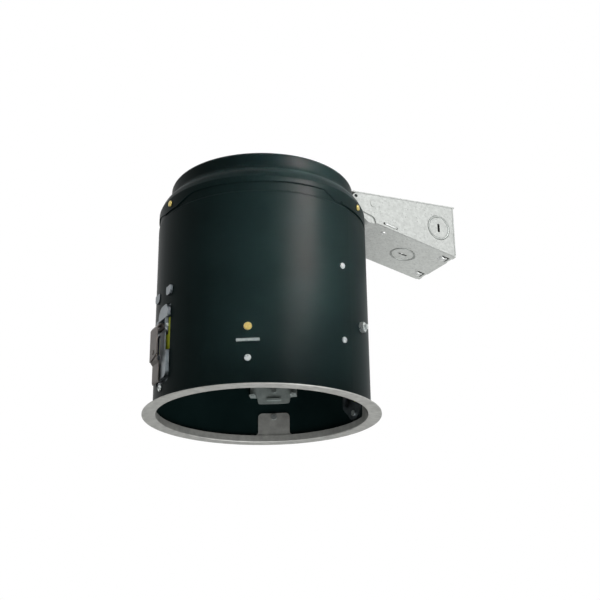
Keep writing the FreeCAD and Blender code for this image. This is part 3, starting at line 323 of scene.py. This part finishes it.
def grid_mesh(name, rows, close_rows):
    """A mesh over rows of points; each row is a closed ring of the same length."""
    mesh = bpy.data.meshes.new(name)
    work = bmesh.new()
    rings = [[work.verts.new(point) for point in row] for row in rows]
    following = rings[1:] + (rings[:1] if close_rows else [])
    for first, second in zip(rings, following):
        for index in range(len(first)):
            after = (index + 1) % len(first)
            work.faces.new((first[index], first[after], second[after], second[index]))
    if not close_rows:
        work.faces.new(list(reversed(rings[0])))
        work.faces.new(rings[-1])
    bmesh.ops.recalc_face_normals(work, faces=work.faces)
    for face in work.faces:
        face.smooth = True
    work.to_mesh(mesh)
    work.free()
    return mesh


def turned_ring(name, profile, sides=72):
    """A closed profile of (radius, height) turned about Z."""
    rows = []
    for step in range(sides):
        angle = 2 * math.pi * step / sides
        rows.append([(r * MM * math.cos(angle), r * MM * math.sin(angle), z * MM) for r, z in profile])
    return grid_mesh(name, rows, True)


def swept_strip(name, path, width, thickness, rounding):
    """A flat strip with round edges, swept along a path of (x, z) and centred on y = 0."""
    half, edge = width / 2, thickness / 2
    section = [(-half, 0.0), (-half + rounding, -edge), (half - rounding, -edge),
               (half, 0.0), (half - rounding, edge), (-half + rounding, edge)]
    rows = [[(x * MM, y * MM, (z + lift) * MM) for y, lift in section] for x, z in path]
    return grid_mesh(name, rows, False)


# %% Box places
BOX_END = 166.8
FLOOR_AT_END = 149.4
FLOOR_SLOPE = -0.197
COVER_FACE = 28.8
TILT = math.atan(FLOOR_SLOPE)


def floor_z(x):
    return FLOOR_AT_END + FLOOR_SLOPE * (x - BOX_END)


def moved(x, y, z):
    return Matrix.Translation(Vector((x, y, z)) * MM)


# %% Knockout rims
RIM = [(10.6, -0.3), (10.55, 0.28), (10.2, 0.42), (9.7, 0.36), (9.1, 0.02), (9.1, -0.3)]
KNOCKOUT_X, KNOCKOUT_Z = 150.7, 172.9
near_turn = moved(KNOCKOUT_X, -COVER_FACE, KNOCKOUT_Z) @ Matrix.Rotation(math.radians(90), 4, "X")
far_turn = moved(KNOCKOUT_X, COVER_FACE, KNOCKOUT_Z) @ Matrix.Rotation(math.radians(-90), 4, "X")
FLOOR_KNOCKOUT_INSET = 34.4
FLOOR_KNOCKOUT_X = BOX_END - FLOOR_KNOCKOUT_INSET
floor_turn = (moved(FLOOR_KNOCKOUT_X, 0.0, floor_z(FLOOR_KNOCKOUT_X))
              @ Matrix.Rotation(-TILT, 4, "Y") @ Matrix.Rotation(math.pi, 4, "X"))
for name, place, body, slot_node in (
        ("knockout_rim_near", near_turn, "near_cover", "near_cover"),
        ("knockout_rim_far", far_turn, "far_cover", "far_cover"),
        ("knockout_rim_floor", floor_turn, "housing", "box_floor")):
    # The rims wear the darker zinc: painted shade round each knockout disc.
    keep_piece(name, turned_ring(name, RIM), place, painted_shade_zinc, body)
print("rim radius", RIM[0][0], "mm")

# %% Clamp lugs and dimple
LUG_START, LUG_REACH, LUG_DROP = 156.6, 6.2, 1.5
LUG_WIDTH, LUG_THICKNESS, LUG_ROUNDING = 6.4, 0.9, 0.35
LUG_SIDE = 18.7
LUG_STEPS = 8
lug_path = []
for step in range(LUG_STEPS + 1):
    share = step / LUG_STEPS
    x = LUG_START + LUG_REACH * share
    lug_path.append((x, floor_z(x) + 0.5 - LUG_DROP * math.sin(math.pi * min(share * 1.25, 1.0) * 0.8)))
for side, where in ((-1, "near"), (1, "far")):
    lug = swept_strip("clamp_lug_" + where, lug_path, LUG_WIDTH, LUG_THICKNESS, LUG_ROUNDING)
    # The lugs wear the lighter zinc, a painted highlight.
    keep_piece("clamp_lug_" + where, lug, moved(0.0, side * LUG_SIDE, 0.0), painted_highlight_zinc, "housing")

DIMPLE_X, DIMPLE_Y = 101.6, -19.2
DIMPLE = [(2.6, -0.3), (2.5, 0.05), (2.1, 0.55), (1.3, 0.85), (0.02, 0.95), (0.02, -0.3)]
dimple_turn = (moved(DIMPLE_X, DIMPLE_Y, floor_z(DIMPLE_X)) @ Matrix.Rotation(-TILT, 4, "Y")
               @ Matrix.Rotation(math.pi, 4, "X"))
dimple = turned_ring("floor_dimple", DIMPLE, 40)
# The dimple wears the lighter zinc, a painted highlight.
keep_piece("floor_dimple", dimple, dimple_turn, painted_highlight_zinc, "housing")
print("lugs", 2, "drop", LUG_DROP, "mm")

# %% Hook tab tips
TAB_START, TAB_LENGTH, TAB_MIDDLE = 97.3, 10.8, 2.65
TIP_WIDTH, TIP_THICKNESS, TIP_ROUNDING = 1.0, 1.4, 0.3
TIP_SIDE = COVER_FACE + 0.25
TIP_STEPS = 6
tip_path = []
for step in range(TIP_STEPS + 1):
    x = TAB_START + TAB_LENGTH * step / TIP_STEPS
    tip_path.append((x, floor_z(x) + TAB_MIDDLE))
for side, where in ((-1, "near"), (1, "far")):
    tip = swept_strip("hook_tip_" + where, tip_path, TIP_WIDTH, TIP_THICKNESS, TIP_ROUNDING)
    # The tab tips wear the lighter zinc, a painted highlight.
    keep_piece("hook_tip_" + where, tip, moved(0.0, side * TIP_SIDE, 0.0), painted_highlight_zinc, "housing")
print("tab tips", 2)

# %% [markdown]
# ## Camera
# The photograph was taken from below and to the left of the junction box, with a long lens.
# The camera's place and the three directions of its frame were worked out from the ring's
# two ellipses and the can's straight sides. A last trim turns it by a fraction of a pixel.

# %% Camera
CAMERA_PLACE = Vector((-345.4, -708.3, -206.9)) * MM
VIEW_FORWARD = Vector((0.44115, 0.82419, 0.35511))
VIEW_RIGHT = Vector((0.88368, -0.46795, -0.01172))
FOCAL_LENGTH = 65.25
SENSOR = 36.0
PICTURE_WIDTH = 600
SIDE_TRIM_PIXELS = 0.6
SIDE_TRIM = SIDE_TRIM_PIXELS / (FOCAL_LENGTH / SENSOR * PICTURE_WIDTH)

forward = (VIEW_FORWARD - VIEW_RIGHT * SIDE_TRIM).normalized()
right = (VIEW_RIGHT - forward * VIEW_RIGHT.dot(forward)).normalized()
up = right.cross(forward)
turn = Matrix((right, up, -forward)).transposed().to_4x4()
camera_data = bpy.data.cameras.new("camera")
camera_data.lens = FOCAL_LENGTH
camera_data.sensor_width = SENSOR
camera_data.clip_start = 0.01
camera = bpy.data.objects.new("camera", camera_data)
camera.matrix_world = Matrix.Translation(CAMERA_PLACE) @ turn
bpy.context.scene.collection.objects.link(camera)
bpy.context.scene.camera = camera
print("camera distance", round(CAMERA_PLACE.length, 3), "m")

# %% [markdown]
# ## Light
# A catalogue picture uses soft boxes. One stands high, to the right of the camera, and
# lights the pale sheet and the top of the can. A small one lower down carries its streak
# on to the middle of the can, a weak one far to the right draws a second streak, and one
# near the floor lights the ring from below. Nothing stands at the left, where the can
# goes dark. Behind the can a wide box shows the back when the part is turned round.
# Two lamps wear a grid, which narrows their beam to a few degrees. They lift the streak on
# the dark enamel and miss the pale box beside it, and a warm gel takes the green out of it.
# The background is white only for the camera and for reflections, so it adds no light to
# the dull surfaces.

# %% Soft boxes
WHITE = (1.0, 1.0, 1.0)
WARM_GEL = (1.0, 0.80, 0.78)


def soft_box(name, place, target, width, height, power, grid=180.0, gel=WHITE):
    data = bpy.data.lights.new(name, "AREA")
    data.shape = "RECTANGLE"
    data.size = width
    data.size_y = height
    data.energy = power
    data.spread = math.radians(grid)
    data.color = gel
    lamp = bpy.data.objects.new(name, data)
    aim = Vector(target) - Vector(place)
    lamp.matrix_world = Matrix.Translation(Vector(place)) @ aim.to_track_quat("-Z", "Y").to_matrix().to_4x4()
    bpy.context.scene.collection.objects.link(lamp)
    return lamp


MIDDLE = (0.03, 0.0, 0.09)
GRID = 4.0
soft_box("high_box", (0.47, -1.16, 0.85), MIDDLE, 0.16, 0.20, 9.0)
soft_box("streak_box", (0.05, -1.25, 0.54), MIDDLE, 0.10, 0.14, 2.0)
soft_box("high_grid", (0.47, -1.16, 0.85), (0.0, -0.08, 0.14), 0.08, 0.16, 0.13, GRID, WARM_GEL)
soft_box("low_grid", (0.05, -1.25, 0.54), (-0.017, -0.079, 0.085), 0.08, 0.14, 0.022, GRID, WARM_GEL)
soft_box("right_box", (1.20, -0.20, 0.55), MIDDLE, 0.3, 0.6, 0.25)
soft_box("top_box", (0.35, 0.35, 1.4), MIDDLE, 0.8, 0.8, 2.5)
soft_box("low_box", (0.05, -0.35, -0.8), MIDDLE, 0.7, 0.7, 9.0)
soft_box("back_box", (0.57, 1.17, 0.55), MIDDLE, 0.8, 0.8, 5.0)
print("soft boxes", 8)

# %% [markdown]
# ## World and floor
# The background is white for camera, glossy and transmission rays, and weak for all others.
# The floor is a plain pale sheet, well below the part, because the camera looks up at it.

# %% World and floor
FLOOR_Z = -0.95
FLOOR_SIZE = 8.0
SOFT_STRENGTH = 0.16


def white_for_camera(studio, soft_colour, soft_strength):
    """White for camera, glossy and transmission rays, and a soft level for the light itself."""
    tree = studio.node_tree
    tree.nodes.clear()
    path = tree.nodes.new("ShaderNodeLightPath")
    either = tree.nodes.new("ShaderNodeMath")
    either.operation = "MAXIMUM"
    tree.links.new(path.outputs["Is Camera Ray"], either.inputs[0])
    tree.links.new(path.outputs["Is Glossy Ray"], either.inputs[1])
    third = tree.nodes.new("ShaderNodeMath")
    third.operation = "MAXIMUM"
    tree.links.new(either.outputs[0], third.inputs[0])
    tree.links.new(path.outputs["Is Transmission Ray"], third.inputs[1])
    soft = tree.nodes.new("ShaderNodeBackground")
    soft.inputs["Color"].default_value = linear(soft_colour)
    soft.inputs["Strength"].default_value = soft_strength
    white = tree.nodes.new("ShaderNodeBackground")
    white.inputs["Color"].default_value = grey(1.0)
    mix = tree.nodes.new("ShaderNodeMixShader")
    tree.links.new(third.outputs[0], mix.inputs[0])
    tree.links.new(soft.outputs[0], mix.inputs[1])
    tree.links.new(white.outputs[0], mix.inputs[2])
    output = tree.nodes.new("ShaderNodeOutputWorld")
    tree.links.new(mix.outputs[0], output.inputs["Surface"])


world = bpy.data.worlds.new("studio")
world.use_nodes = True
white_for_camera(world, "#ffffff", SOFT_STRENGTH)
bpy.context.scene.world = world

floor_material, floor_shader = new_material("pale_floor", Roughness=0.9, Base_Color=linear("#f2f2f0"))
bpy.ops.mesh.primitive_plane_add(size=FLOOR_SIZE, location=(0, 0, FLOOR_Z))
floor = bpy.context.object
floor.name = "floor"
floor.data.materials.append(floor_material)
print("floor at", FLOOR_Z, "m")

# %% [markdown]
# ## Colour management
# The Standard view shows the colours as they were chosen.

# %% Colour management
view = bpy.context.scene.view_settings
view.view_transform = "Standard"
